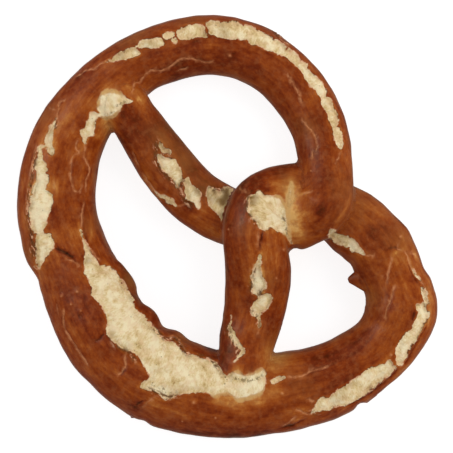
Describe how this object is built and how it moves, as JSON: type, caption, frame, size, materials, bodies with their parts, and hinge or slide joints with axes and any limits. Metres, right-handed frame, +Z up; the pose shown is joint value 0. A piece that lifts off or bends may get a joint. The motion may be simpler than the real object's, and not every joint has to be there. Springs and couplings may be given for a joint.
{
  "type": "soft pretzel",
  "caption": "Baked soft pretzel of one twisted dough rope, with a thick belly, split brown crust and pale crumb, lying on its flat underside.",
  "frame": {"origin": "middle of the outline, at the flat underside that it lies on", "axes": "+Z up out of the underside it was baked on, +Y from the thick belly towards the two loops, +X to the right as it is seen from above"},
  "size_m": [0.1647, 0.144, 0.0302],
  "materials": {
    "baked_dough": "thin shiny lye crust, red-brown, darker on the sides and golden beside splits and joins, split open to rough pale cream crumb"
  },
  "bodies": {
    "root": {"pretzel": "baked_dough"}
  },
  "joints": []
}
